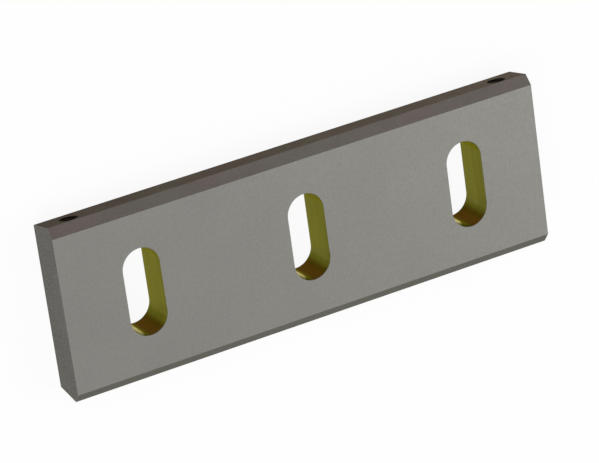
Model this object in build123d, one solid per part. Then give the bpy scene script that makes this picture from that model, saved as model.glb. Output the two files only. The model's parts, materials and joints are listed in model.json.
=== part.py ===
from build123d import *
from math import radians, tan
import os

# A double-edged stator knife for a shredder or cutting mill: one flat bar of hardened tool steel.
# Both long sides are ground to a cutting edge, so the knife can be turned round when one edge is dull.
# It lies on its seat face. X runs along the knife, Y across it from edge to edge,
# and Z up through the front face, with the origin under its middle.
# Lengths are in millimetres and angles in degrees.

# the bar
length = 295.0
width_over_edges = 100.0
thickness = 22.0

# the cutting edges
edge_drop = 4.5         # from the front face down to each cutting edge
bevel_angle = 40.0      # of the ground bevel above the edge, from the front face
relief_angle = 10.0     # of the flank below the edge, from square

# the slots for the clamping bolts, which let the knife be set towards the rotor
bolt_diameter = 20.0
bolt_clearance = 2.0    # on the diameter
slot_travel = 28.0      # how far a bolt can move along its slot
slot_pitch = 100.0
slot_count = 3

# the tapped holes for the setting screws, in the flank behind either edge
thread_diameter = 12.0
thread_pitch = 1.75
thread_length = 18.0
thread_run_out = 6.0    # drilled past the last full thread
drill_point_angle = 118.0
hole_end_distance = 15.5

# the section across the knife, worked out from the sizes above
edge_half = width_over_edges / 2
edge_height = thickness - edge_drop
front_half = edge_half - edge_drop / tan(radians(bevel_angle))
seat_half = edge_half - edge_height * tan(radians(relief_angle))

# the slots and holes, worked out in the same way
slot_width = bolt_diameter + bolt_clearance
slot_length = slot_travel + slot_width
hole_radius = (thread_diameter - thread_pitch) / 2
hole_depth = thread_length + thread_run_out
hole_point = hole_radius / tan(radians(drill_point_angle / 2))
hole_height = thickness / 2
hole_along = length / 2 - hole_end_distance
mouth_half = seat_half + hole_height * tan(radians(relief_angle))


def ground_bar():
    # half of the section is drawn from the middle outwards, mirrored, and run along the length
    with BuildPart() as bar:
        with BuildSketch(Plane.YZ):
            with BuildLine():
                Polyline(
                    (0, 0),
                    (seat_half, 0),
                    (edge_half, edge_height),
                    (front_half, thickness),
                    (0, thickness),
                )
                mirror(about=Plane.YZ)
            make_face()
        extrude(amount=length / 2, both=True)
    return bar.part


def bolt_slots():
    # round-ended slots that run across the knife, in a row along it, cut through both faces
    with BuildPart() as slots:
        with BuildSketch(Plane.XY.offset(thickness / 2)):
            with GridLocations(slot_pitch, 0, slot_count, 1):
                SlotOverall(slot_length, slot_width, rotation=90)
        extrude(amount=thickness, both=True)
    return slots.part


def drilled_hole():
    # a blind hole down -Z from its mouth at the origin, with the cone that the drill's point leaves;
    # it starts above the mouth, because the flank round the mouth is slanted
    with BuildPart() as hole:
        with BuildSketch(Plane.XZ):
            with BuildLine():
                Polyline(
                    (0, hole_radius),
                    (hole_radius, hole_radius),
                    (hole_radius, -hole_depth),
                    (0, -hole_depth - hole_point),
                    close=True,
                )
            make_face()
        revolve(axis=Axis.Z)
    return hole.part


def setting_screw_holes():
    # one hole near each end of either flank, square to the length of the knife;
    # the seam of each round wall is turned up, clear of the mid-height plane the holes share
    holes = []
    for end in (-1, 1):
        for side in (-1, 1):
            mouth = Plane(
                origin=(end * hole_along, side * mouth_half, hole_height),
                x_dir=(0, 0, 1),
                z_dir=(0, side, 0),
            )
            holes.append(mouth * drilled_hole())
    return holes


knife = ground_bar() - bolt_slots()
for hole in setting_screw_holes():
    knife -= hole

os.makedirs("parts", exist_ok=True)
export_step(knife, "parts/stator_knife.step")
print("section half widths:", round(seat_half, 3), round(edge_half, 3), round(front_half, 3))
print("slot:", slot_width, "by", slot_length, " hole radius:", hole_radius, " mouth at y:", round(mouth_half, 3))
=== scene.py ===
import json
import math

import bmesh
import bpy
from mathutils import Euler, Matrix, Vector


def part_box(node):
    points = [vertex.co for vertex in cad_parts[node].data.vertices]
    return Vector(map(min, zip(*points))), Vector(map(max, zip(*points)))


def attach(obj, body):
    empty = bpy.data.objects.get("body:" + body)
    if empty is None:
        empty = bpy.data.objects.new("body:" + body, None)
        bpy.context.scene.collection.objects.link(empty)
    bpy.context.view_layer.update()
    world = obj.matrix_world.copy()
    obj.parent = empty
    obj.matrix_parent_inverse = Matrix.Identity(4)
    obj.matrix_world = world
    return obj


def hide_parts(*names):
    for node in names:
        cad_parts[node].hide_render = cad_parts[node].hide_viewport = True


# A stator knife lying on its seat face, seen from above and to one side.
# The frame gives its box, slots and holes; this script grinds its edges, cuts its threads
# and finishes its steel.
# Metres throughout: X along the knife, Y from edge to edge, Z up through the slotted front face.

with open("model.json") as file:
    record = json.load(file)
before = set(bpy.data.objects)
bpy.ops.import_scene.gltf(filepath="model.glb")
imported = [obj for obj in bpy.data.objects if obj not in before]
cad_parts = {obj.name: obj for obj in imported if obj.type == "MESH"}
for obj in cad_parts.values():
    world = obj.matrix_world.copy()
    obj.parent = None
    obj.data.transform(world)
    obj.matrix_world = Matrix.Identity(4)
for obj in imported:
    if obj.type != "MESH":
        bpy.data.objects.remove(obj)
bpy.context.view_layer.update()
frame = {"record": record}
mounts = frame["record"]["mounts"]
low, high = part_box("stator_knife")
perMetre = 1000    # the mounts' dims are in millimetres
print("frame loaded")


# shader helpers

# a Mix node's colour sockets, by number because its other sockets have the same names
mixColours = (6, 7)
mixResult = 2


def addNode(tree, kind, x, y, **settings):
    node = tree.nodes.new(kind)
    node.location = (x, y)
    for name, value in settings.items():
        setattr(node, name, value)
    return node


def addNoise(tree, where, size, x, y, detail=2, rough=0.5):
    # size is roughly how wide one grain is, in metres
    noise = addNode(tree, "ShaderNodeTexNoise", x, y)
    noise.inputs["Scale"].default_value = 1 / size
    noise.inputs["Detail"].default_value = detail
    noise.inputs["Roughness"].default_value = rough
    tree.links.new(where, noise.inputs["Vector"])
    return noise.outputs["Fac"]


def addRange(tree, value, span, result, x, y, blend="LINEAR"):
    # from the first result to the second as the value crosses the span, and no further
    node = addNode(tree, "ShaderNodeMapRange", x, y, interpolation_type=blend)
    node.inputs["From Min"].default_value, node.inputs["From Max"].default_value = span
    node.inputs["To Min"].default_value, node.inputs["To Max"].default_value = result
    tree.links.new(value, node.inputs["Value"])
    return node.outputs["Result"]


def addMath(tree, operation, first, second, x, y):
    # first and second are numbers or sockets
    node = addNode(tree, "ShaderNodeMath", x, y, operation=operation)
    for socket, value in zip(node.inputs, (first, second)):
        if isinstance(value, (int, float)):
            socket.default_value = value
        else:
            tree.links.new(value, socket)
    return node.outputs["Value"]


def addBlend(tree, factor, first, second, x, y):
    # first and second are colours or sockets
    node = addNode(tree, "ShaderNodeMix", x, y, data_type="RGBA")
    tree.links.new(factor, node.inputs["Factor"])
    for i, value in zip(mixColours, (first, second)):
        if isinstance(value, tuple):
            node.inputs[i].default_value = (*value, 1)
        else:
            tree.links.new(value, node.inputs[i])
    return node.outputs[mixResult]


def addSplit(tree, vector, x, y):
    split = addNode(tree, "ShaderNodeSeparateXYZ", x, y)
    tree.links.new(vector, split.inputs["Vector"])
    return split.outputs


def addFacing(tree, normal, side, edge, x, y):
    # 1 where the surface faces side, 0 elsewhere; edge holds the two cosines between
    facing = addNode(tree, "ShaderNodeVectorMath", x, y, operation="DOT_PRODUCT")
    tree.links.new(normal, facing.inputs[0])
    tree.links.new(side, facing.inputs[1])
    return addRange(tree, facing.outputs["Value"], edge, (0, 1), x + 200, y, "SMOOTHSTEP")


def addPitting(tree, height, depth, shader, x, y):
    bump = addNode(tree, "ShaderNodeBump", x, y)
    bump.inputs["Distance"].default_value = depth
    tree.links.new(height, bump.inputs["Height"])
    tree.links.new(bump.outputs["Normal"], shader.inputs["Normal"])


def addToned(tree, tone, colour, spread, x, y):
    # the colour, darker and lighter by spread as tone runs from 0 to 1
    darker = tuple(channel * (1 - spread) for channel in colour)
    lighter = tuple(channel * (1 + spread) for channel in colour)
    return addBlend(tree, tone, darker, lighter, x, y)


def bothWays(amount):
    return (-amount, amount)


def newMaterial(name, finish):
    material = bpy.data.materials.new(name)
    material.use_nodes = True
    tree = material.node_tree
    shader = tree.nodes["Principled BSDF"]
    shader.location = (250, 300)
    tree.nodes["Material Output"].location = (550, 300)
    shader.inputs["Metallic"].default_value = finish["metallic"]
    shader.inputs["Specular IOR Level"].default_value = finish["specular"]
    return material, tree, shader


# steel finishes

frontSteel = {
    "colour": (0.193, 0.190, 0.1745),
    "metallic": 0.7,
    "roughness": 0.42,
    "specular": 0.3,
    "tint": (1.0, 1.0, 1.0),    # of what is mirrored at a low angle
    "grainSize": 0.0014,
    "grain": 0.055,             # how far the grain lightens and darkens the colour
    "cloudSize": 0.03,
    "cloud": 0.02,
    "pitting": 0.00001,         # height of the grain
}
endSteel = {
    # painted shade: darker than the front face, for the shade on an upright end; its coarse grain
    # is its own
    "colour": (0.128, 0.124, 0.110),
    "metallic": 0.6,
    "roughness": 0.5,
    "specular": 0.2,
    "tint": (0.62, 0.62, 0.60),
    "grainSize": 0.0012,
    "grain": 0.30,
    "cloudSize": 0.02,
    "cloud": 0.05,
    "pitting": 0.00004,
}
upperBevelSteel = {
    "colour": (0.134, 0.111, 0.103),
    "patch": (0.130, 0.118, 0.106),    # a second colour, in broad patches
    "patchSize": 0.05,
    "metallic": 0.6,
    "roughness": 0.45,
    "specular": 0.2,
    "tint": (0.80, 0.78, 0.76),
    "grainSize": 0.0008,
    "grain": 0.10,
    "cloudSize": 0.02,
    "cloud": 0.05,
    "paintedGradient": 0.05,              # painted light: how far the colour lightens from the middle to the +X end
    "pitting": 0.00001,
}
lowerBevelSteel = {
    "colour": (0.118, 0.115, 0.094),
    "metallic": 0.6,
    "roughness": 0.45,
    "specular": 0.2,
    "tint": (0.50, 0.50, 0.48),
    "grainSize": 0.0008,
    "grain": 0.10,
    "cloudSize": 0.02,
    "cloud": 0.05,
    "pitting": 0.00001,
}
flankSteel = {
    "colour": (0.094, 0.0715, 0.053),
    "patch": (0.092, 0.079, 0.0555),
    "patchSize": 0.03,
    "metallic": 0.8,
    "roughness": 0.5,
    "specular": 0.1,
    "tint": (0.45, 0.42, 0.40),
    "grainSize": 0.0009,
    "grain": 0.18,
    "cloudSize": 0.015,
    "cloud": 0.10,
    # painted light: lighter towards the +X end
    "paintedGradient": 0.19,
    "pitting": 0.00002,
}
threadSteel = {
    "colour": (0.060, 0.048, 0.038),
    "metallic": 0.5,
    "roughness": 0.45,
    "specular": 0.2,
    "tint": (0.60, 0.55, 0.50),
    "grainSize": 0.0006,
    "grain": 0.20,
    "cloudSize": 0.004,
    "cloud": 0.10,
    "pitting": 0.00001,
}

noiseSpan = (0.3, 0.7)     # the values that a noise mostly keeps to
patchSpan = (0.4, 0.62)    # the values over which one patch turns into the next
roughSpread = 0.04         # how far the grain changes the roughness


def steelMaterial(name, finish):
    material, tree, shader = newMaterial(name, finish)
    shader.inputs["Specular Tint"].default_value = (*finish["tint"], 1)
    place = addNode(tree, "ShaderNodeTexCoord", -1200, 0).outputs["Object"]
    grain = addNoise(tree, place, finish["grainSize"], -1000, 200, rough=0.6)
    cloud = addNoise(tree, place, finish["cloudSize"], -1000, -100, detail=3)
    grainShare = addRange(tree, grain, noiseSpan, bothWays(finish["grain"]), -800, 200)
    cloudShare = addRange(tree, cloud, noiseSpan, bothWays(finish["cloud"]), -800, -100)
    tone = addMath(tree, "ADD", grainShare, cloudShare, -600, 50)
    spread = finish["grain"] + finish["cloud"]
    # painted light along X, where a finish has it
    if "paintedGradient" in finish:
        along = addSplit(tree, place, -1000, -400)["X"]
        paintedGradient = addRange(tree, along, (low.x, high.x), bothWays(finish["paintedGradient"]), -800, -350)
        tone = addMath(tree, "ADD", tone, paintedGradient, -600, -100)
        spread += finish["paintedGradient"]
    tone = addRange(tree, tone, bothWays(spread), (0, 1), -450, 50)
    skin = addToned(tree, tone, finish["colour"], spread, -250, 100)
    if "patch" in finish:
        patches = addNoise(tree, place, finish["patchSize"], -1000, 500)
        patched = addRange(tree, patches, patchSpan, (0, 1), -800, 500)
        second = addToned(tree, tone, finish["patch"], spread, -250, 350)
        skin = addBlend(tree, patched, skin, second, -50, 300)
    tree.links.new(skin, shader.inputs["Base Color"])
    roughness = (finish["roughness"] + roughSpread, finish["roughness"] - roughSpread)
    rough = addRange(tree, grain, noiseSpan, roughness, -600, -250)
    tree.links.new(rough, shader.inputs["Roughness"])
    addPitting(tree, grain, finish["pitting"], shader, -250, -300)
    return material


# the slots' film, with painted light, shade and reflections in patches

slotVarnishAndPaintedLight = {
    "colour": (0.129, 0.125, 0.018),
    "tint": (0.85, 0.82, 0.38),
    "metallic": 0.7,
    "roughness": 0.36,
    "specular": 0.0,
    "streakSize": 0.003,
    "streakScale": (0.1, 0.1, 1),    # drawn out round the slot, as the cutter's marks run
    "streak": 0.10,
    "pitting": 0.00001,
}
# what the two painted highlights share: they end at a slanting line
paintedHighlight = {
    "turn": 0.58,
    "top": (0.0119, 0.0083),         # none of it above the first height, all below the second
    "slant": 0.0215,                 # how much higher those lie where the wall faces +X
    "fall": 0.012,                   # how much lower they lie for each metre along X
    "along": (-0.1, 0.1),            # the X of the outer slots
    "colour": (0.92, 0.80, 0.37),
    "tint": (0.94, 0.91, 0.62),
}
# where the film isn't plain: patches of painted light, painted shade and painted reflections.
# Each gives the way it faces at X 0, how far it turns for each metre along X, in radians, and its
# edge, from none to all of it, as the cosine from that way
paintedLightPatches = [
    {   # painted light: paler where the wall faces -X
        "side": (-0.996, 0.087, 0.0),
        "turn": 0.0,
        "edge": (0.92, 1.0),
        "colour": (0.178, 0.172, 0.033),
        "tint": (0.87, 0.84, 0.46),
    },
    {   # painted reflection: dark olive at the -Y ends, for something dark mirrored there
        "side": (-0.407, 0.914, 0.0),
        "turn": 0.6,
        "edge": (0.809, 0.982),
        "colour": (0.071, 0.044, 0.004),
        "tint": (0.70, 0.64, 0.46),
    },
    {   # painted reflection: brown in the middle of that
        "side": (-0.276, 0.961, 0.0),
        "turn": 0.4,
        "edge": (0.914, 0.999),
        "colour": (0.092, 0.045, 0.005),
        "tint": (0.74, 0.63, 0.50),
    },
    {   # painted highlight: a broad pale band down the same ends
        **paintedHighlight,
        "side": (0.442, 0.897, 0.0),
        "edge": (0.940, 0.985),
        "share": (0.47, 0.48),    # how much of it shows in the left slot and in the right one
    },
    {   # painted highlight: brightest down one line in that band
        **paintedHighlight,
        "side": (0.296, 0.955, 0.0),
        "edge": (0.990, 1.0),
        "share": (0.48, 0.86),
    },
]
patchDrop = 700    # from one patch's nodes to the next, in the node editor


def paintedLightMask(tree, coords, patch, y):
    place = addSplit(tree, coords["Object"], -1200, y - 200)
    sideX, sideY, _ = patch["side"]
    turned = addNode(tree, "ShaderNodeVectorMath", -1000, y, operation="MULTIPLY_ADD")
    tree.links.new(place["X"], turned.inputs[0])
    turned.inputs[1].default_value = (-sideY * patch["turn"], sideX * patch["turn"], 0)
    turned.inputs[2].default_value = patch["side"]
    mask = addFacing(tree, coords["Normal"], turned.outputs["Vector"], patch["edge"], -800, y)
    if "top" not in patch:
        return mask
    across = addSplit(tree, coords["Normal"], -1200, y - 350)["X"]
    raised = addMath(tree, "MULTIPLY", across, patch["slant"], -1000, y - 350)
    level = addMath(tree, "SUBTRACT", place["Z"], raised, -800, y - 250)
    fallen = addMath(tree, "MULTIPLY", place["X"], patch["fall"], -1000, y - 500)
    level = addMath(tree, "ADD", level, fallen, -600, y - 250)
    below = addRange(tree, level, patch["top"], (0, 1), -400, y - 250)
    share = addRange(tree, place["X"], patch["along"], patch["share"], -600, y - 450)
    mask = addMath(tree, "MULTIPLY", mask, share, -350, y)
    return addMath(tree, "MULTIPLY", mask, below, -200, y)


def varnishMaterial(name, finish, patches):
    # a yellow film over the milled walls of the slots, with patches of painted light, shade and
    # reflections over it
    material, tree, shader = newMaterial(name, finish)
    shader.inputs["Roughness"].default_value = finish["roughness"]
    coords = addNode(tree, "ShaderNodeTexCoord", -1400, 0).outputs
    drawn = addNode(tree, "ShaderNodeMapping", -1200, 400)
    drawn.inputs["Scale"].default_value = finish["streakScale"]
    tree.links.new(coords["Object"], drawn.inputs["Vector"])
    streak = addNoise(tree, drawn.outputs["Vector"], finish["streakSize"], -1000, 400)
    tone = addRange(tree, streak, noiseSpan, (0, 1), -800, 400)
    skin = addToned(tree, tone, finish["colour"], finish["streak"], -600, 400)
    tint = finish["tint"]
    for i, patch in enumerate(patches):
        y = -patchDrop * i
        mask = paintedLightMask(tree, coords, patch, y)
        colour = addToned(tree, tone, patch["colour"], finish["streak"], -200, y + 250)
        skin = addBlend(tree, mask, skin, colour, 0, y + 250)
        tint = addBlend(tree, mask, tint, patch["tint"], 0, y)
    tree.links.new(skin, shader.inputs["Base Color"])
    tree.links.new(tint, shader.inputs["Specular Tint"])
    addPitting(tree, streak, finish["pitting"], shader, 0, 550)
    return material


# every mesh below carries these slots in this order, so that a cut keeps the finish of its cutter
finishes = {
    "front": steelMaterial("groundSteel", frontSteel),
    "end": steelMaterial("sawnSteelPaintedShade", endSteel),
    "upperBevel": steelMaterial("upperBevelSteel", upperBevelSteel),
    "lowerBevel": steelMaterial("lowerBevelSteel", lowerBevelSteel),
    "flank": steelMaterial("brownedSteel", flankSteel),
    "slotWall": varnishMaterial("slotVarnishAndPaintedLight", slotVarnishAndPaintedLight, paintedLightPatches),
    "thread": steelMaterial("threadSteel", threadSteel),
}
finishNumber = {finish: i for i, finish in enumerate(finishes)}
print("finishes made")


# mesh helpers

touching = 1e-7    # points this near, to each other or to a height, count as touching


def intoScene(name, data):
    item = bpy.data.objects.new(name, data)
    bpy.context.scene.collection.objects.link(item)
    return item


def meshData(name, mesh):
    data = bpy.data.meshes.new(name)
    mesh.to_mesh(data)
    mesh.free()
    return data


def finishedObject(name, mesh):
    bmesh.ops.recalc_face_normals(mesh, faces=mesh.faces)
    if mesh.calc_volume(signed=True) < 0:
        bmesh.ops.reverse_faces(mesh, faces=mesh.faces)
    data = meshData(name, mesh)
    for material in finishes.values():
        data.materials.append(material)
    return intoScene(name, data)


def bridge(mesh, first, second):
    # a wall of faces between two rings of as many points
    count = len(first)
    laps = [(i, (i + 1) % count) for i in range(count)]
    return [mesh.faces.new((first[i], first[j], second[j], second[i])) for i, j in laps]


def ringAt(mesh, height):
    ring = [vert for vert in mesh.verts if abs(vert.co.z - height) < touching]
    return sorted(ring, key=lambda vert: math.atan2(vert.co.y, vert.co.x))


# the bar

bar = {
    "edgeDrop": 0.0045,      # from the front face down to each cutting edge
    "bevelAngle": 40.0,
    "reliefAngle": 10.0,
    "edgeBreak": 0.0001,     # every edge but the cutting edges is stoned by this much
    "breakSteps": 2,
    "breakProfile": 0.5,     # round
}


def sectionPoints():
    # once round the section, each point with the finish of the side that starts at it
    top, half = high.z, high.y
    edgeHeight = top - bar["edgeDrop"]
    frontHalf = half - bar["edgeDrop"] / math.tan(math.radians(bar["bevelAngle"]))
    seatHalf = half - edgeHeight * math.tan(math.radians(bar["reliefAngle"]))
    return [
        (-seatHalf, 0, "front"),
        (seatHalf, 0, "flank"),
        (half, edgeHeight, "upperBevel"),
        (frontHalf, top, "front"),
        (-frontHalf, top, "lowerBevel"),
        (-half, edgeHeight, "flank"),
    ]


def groundBar():
    mesh = bmesh.new()
    section = sectionPoints()
    rings = [[mesh.verts.new((x, y, z)) for y, z, _ in section] for x in (low.x, high.x)]
    for i, (_, _, finish) in enumerate(section):
        j = (i + 1) % len(section)
        side = mesh.faces.new((rings[0][i], rings[1][i], rings[1][j], rings[0][j]))
        side.material_index = finishNumber[finish]
    for ring in rings:
        mesh.faces.new(ring).material_index = finishNumber["end"]
    widest = [i for i, (y, _, _) in enumerate(section) if abs(y) == high.y]
    cutting = {ring[i] for ring in rings for i in widest}    # the ends of the cutting edges
    blunt = [edge for edge in mesh.edges if not set(edge.verts) <= cutting]
    bmesh.ops.bevel(mesh, geom=blunt, offset=bar["edgeBreak"], segments=bar["breakSteps"],
                    profile=bar["breakProfile"], affect="EDGES")
    return finishedObject("knifeBar", mesh)


# the slots

slots = {
    "steps": 48,                  # round each half-round end
    "frontRim": 0.00025,          # stoned back to bare steel
    "seatRim": 0.0001,
    "rimTurns": (0, 30, 60),      # degrees round the rim's quarter circle
    "rimRunOut": (1.05, 1.19),    # where its last chord ends, past the face, in rims up and out
    "overcut": 0.001,             # how far the cutter stands out of both faces
}


def obround(radius, straight, steps):
    # once round a slot that runs along Y
    points = []
    for sign in (1, -1):
        for i in range(steps + 1):
            turn = math.pi * i / steps
            across, along = radius * math.cos(turn), straight + radius * math.sin(turn)
            points.append((sign * across, sign * along))
    return points


def rimFlare(rim):
    # how far out of the face and how much wider a cutter is as it rounds a rim, runs on
    # through the face and stands clear
    turns = [math.radians(angle) for angle in slots["rimTurns"]]
    flare = [(rim * math.sin(turn), rim * (1 - math.cos(turn))) for turn in turns]
    past, wide = slots["rimRunOut"]
    flare += [(rim * past, rim * wide), (rim + slots["overcut"], rim * wide)]
    return [(rise - rim, spread) for rise, spread in flare]


def slotCutter(mount):
    centre = Vector(mount["pos_m"])
    radius = mount["dims"]["hole_r_mm"] / perMetre
    straight = mount["dims"]["slot_length_mm"] / perMetre / 2 - radius
    upper = [(high.z + rise, spread) for rise, spread in rimFlare(slots["frontRim"])]
    lower = [(low.z - rise, spread) for rise, spread in reversed(rimFlare(slots["seatRim"]))]
    mesh = bmesh.new()
    rings = []
    for height, spread in lower + upper:
        outline = obround(radius + spread, straight, slots["steps"])
        rings.append([mesh.verts.new((centre.x + x, centre.y + y, height)) for x, y in outline])
    for i in range(len(rings) - 1):
        finish = "slotWall" if i == len(lower) - 1 else "front"
        for face in bridge(mesh, rings[i], rings[i + 1]):
            face.material_index = finishNumber[finish]
    mesh.faces.new(rings[0])
    mesh.faces.new(rings[-1])
    return finishedObject("slotCutter", mesh)


# the tapped holes

screwHole = {
    "pitch": 0.00175,
    "groove": 0.000875,      # from the drilled wall to the bottom of the thread
    "profile": [             # share of the pitch, share of the groove
        (0.0, 0),
        (0.297, 0),
        (0.586, 1),
        (0.711, 1),
    ],
    "firstThread": 0.001,    # below the mouth
    "leadIn": 0.0006,        # over which the first thread deepens
    "fullThread": 0.018,
    "runOut": 0.0015,        # over which the last thread fades
    "drillPoint": 118.0,
    "sides": 60,
    "overcut": 0.002,        # how far the cutter stands out of the flank
}


def threadColumn(i, drilled, top, bottom):
    # the wall's points up one line of the hole; each line starts a little higher than the last,
    # so the grooves climb, and the laps past either end are pressed flat against it
    pitch = screwHole["pitch"]
    way = i / screwHole["sides"]
    turn = 2 * math.pi * way
    column = []
    for lap in range(-1, math.ceil((top - bottom) / pitch) + 1):
        for step, share in screwHole["profile"]:
            height = min(max(bottom + (lap + step + way) * pitch, bottom), top)
            fadeIn = min(max((-height - screwHole["firstThread"]) / screwHole["leadIn"], 0), 1)
            fadeOut = min(max((height - bottom) / screwHole["runOut"], 0), 1)
            radius = drilled + screwHole["groove"] * share * fadeIn * fadeOut
            column.append((radius * math.cos(turn), radius * math.sin(turn), height))
    return column


def holeCutter(mount):
    # made with its mouth at the origin and its axis up +Z, then turned into place
    drilled = mount["dims"]["r_mm"] / perMetre
    slope = math.tan(math.radians(bar["reliefAngle"]))
    depth = mount["dims"]["length_mm"] / perMetre - drilled * slope    # from the mouth's middle
    cone = drilled / math.tan(math.radians(screwHole["drillPoint"] / 2))
    top, bottom = screwHole["overcut"], -screwHole["fullThread"] - screwHole["runOut"]
    sides, lap = screwHole["sides"], len(screwHole["profile"])
    mesh = bmesh.new()
    columns = []
    for i in range(sides):
        columns.append([mesh.verts.new(point) for point in threadColumn(i, drilled, top, bottom)])
    columns.append(columns[0][lap:])    # the last line meets the first one turn up
    for column, beside in zip(columns, columns[1:]):
        for j in range(len(beside) - 1):
            mesh.faces.new((column[j], beside[j], beside[j + 1], column[j + 1]))
    bmesh.ops.remove_doubles(mesh, verts=mesh.verts, dist=touching)
    mesh.faces.new(ringAt(mesh, top))
    wall = ringAt(mesh, bottom)
    floor = [mesh.verts.new((vert.co.x, vert.co.y, -depth)) for vert in wall]
    bridge(mesh, wall, floor)
    tip = mesh.verts.new((0, 0, -depth - cone))
    for i in range(sides):
        mesh.faces.new((floor[i], floor[(i + 1) % sides], tip))
    for face in mesh.faces:
        face.material_index = finishNumber["thread"]
    centre, along = Vector(mount["pos_m"]), Vector(mount["axis"])
    seatHalf = sectionPoints()[1][0]    # where the flank starts
    mouth = Vector((centre.x, along.y * (seatHalf + centre.z * slope), centre.z))
    turned = along.to_track_quat("Z", "X").to_matrix().to_4x4()
    mesh.transform(Matrix.Translation(mouth) @ turned)
    return finishedObject("holeCutter", mesh)


# the knife

knife = {
    "smoothAngle": 35.0,     # sharper edges than this stay sharp
}


def cutAll(item, cutters):
    for cutter in cutters:
        cut = item.modifiers.new("cut", "BOOLEAN")
        cut.operation = "DIFFERENCE"
        cut.solver = "EXACT"
        cut.object = cutter
    evaluated = item.evaluated_get(bpy.context.evaluated_depsgraph_get())
    data = bpy.data.meshes.new_from_object(evaluated)
    for spare in (item, *cutters):
        bpy.data.objects.remove(spare)
    return data


def finishKnife(data):
    data.name = "groundKnife"
    data.polygons.foreach_set("use_smooth", [True] * len(data.polygons))
    data.set_sharp_from_angle(angle=math.radians(knife["smoothAngle"]))
    item = intoScene("groundKnife", data)
    weighted = item.modifiers.new("flatFaces", "WEIGHTED_NORMAL")
    weighted.keep_sharp = True
    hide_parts("stator_knife")
    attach(item, "root")
    return item


blank = groundBar()
print("bar ground")
cutters = [slotCutter(mount) for mount in mounts if mount["kind"] == "bolt_pattern"]
cutters += [holeCutter(mount) for mount in mounts if mount["kind"] == "threaded_hole"]
groundKnife = finishKnife(cutAll(blank, cutters))
print("slots and threads cut,", len(groundKnife.data.polygons), "faces")


# floor, light and camera

studio = {
    "floorColour": (0.93, 0.93, 0.93),
    "floorSize": 12.0,
    "whiteShare": 0.92,      # of the floor's look; the rest shows its light and shadow
    "skyColour": (1.0, 1.0, 1.0),
    "skyStrength": 0.55,     # neutral light from all round
    "softboxes": [
        # name, place, size across, power in watts
        ("mainSoftbox", (-1.6, -0.7, 2.8), 2.4, 40),
        ("sideSoftbox", (2.2, -0.5, 2.15), 1.2, 21),
    ],
}


def showWhite(tree, lit, white, share, output):
    # share of white where the camera, a reflection or a refraction looks; the rest of it,
    # and all that the light itself meets, is lit
    path = addNode(tree, "ShaderNodeLightPath", -700, 0).outputs
    seen = addMath(tree, "MAXIMUM", path["Is Camera Ray"], path["Is Glossy Ray"], -500, 0)
    seen = addMath(tree, "MAXIMUM", seen, path["Is Transmission Ray"], -350, 0)
    seen = addMath(tree, "MULTIPLY", seen, share, -200, 0)
    mix = addNode(tree, "ShaderNodeMixShader", 250, 0)
    for socket, source in zip(mix.inputs, (seen, lit, white)):
        tree.links.new(source, socket)
    tree.links.new(mix.outputs["Shader"], tree.nodes[output].inputs["Surface"])


def floorMaterial():
    material = bpy.data.materials.new("paleFloor")
    material.use_nodes = True
    tree = material.node_tree
    tree.nodes.remove(tree.nodes["Principled BSDF"])
    diffuse = addNode(tree, "ShaderNodeBsdfDiffuse", 0, 100)
    diffuse.inputs["Color"].default_value = (*studio["floorColour"], 1)
    white = addNode(tree, "ShaderNodeEmission", 0, -100)
    showWhite(tree, diffuse.outputs["BSDF"], white.outputs["Emission"], studio["whiteShare"],
              "Material Output")
    return material


def paleFloor():
    mesh = bmesh.new()
    bmesh.ops.create_grid(mesh, x_segments=1, y_segments=1, size=studio["floorSize"] / 2)
    data = meshData("floor", mesh)
    data.materials.append(floorMaterial())
    floor = intoScene("floor", data)


def softSky():
    world = bpy.data.worlds.new("softSky")
    bpy.context.scene.world = world
    world.use_nodes = True
    tree = world.node_tree
    sky = tree.nodes["Background"]
    sky.inputs["Strength"].default_value = studio["skyStrength"]
    white = addNode(tree, "ShaderNodeBackground", 0, -200)
    for light in (sky, white):
        light.inputs["Color"].default_value = (*studio["skyColour"], 1)
    showWhite(tree, sky.outputs["Background"], white.outputs["Background"], 1, "World Output")


def softbox(name, place, size, power):
    light = bpy.data.lights.new(name, "AREA")
    light.size = size
    light.energy = power
    item = intoScene(name, light)
    item.location = place
    item.rotation_euler = (-Vector(place)).to_track_quat("-Z", "Y").to_euler()


view = {
    "place": (-0.849543, 0.781979, 1.746794),
    "turn": (-18.09802, -28.84275, -8.51343),    # degrees, XYZ
    "lens": 231.66286,                           # millimetres, as is the sensor
    "sensor": 36,
}


def viewCamera():
    data = bpy.data.cameras.new("camera")
    data.sensor_fit = "HORIZONTAL"
    data.sensor_width = view["sensor"]
    data.lens = view["lens"]
    camera = intoScene("camera", data)
    camera.location = view["place"]
    camera.rotation_euler = Euler([math.radians(angle) for angle in view["turn"]])
    bpy.context.scene.camera = camera


paleFloor()
softSky()
for box in studio["softboxes"]:
    softbox(*box)
viewCamera()
bpy.context.scene.view_settings.view_transform = "Standard"
print("studio ready")
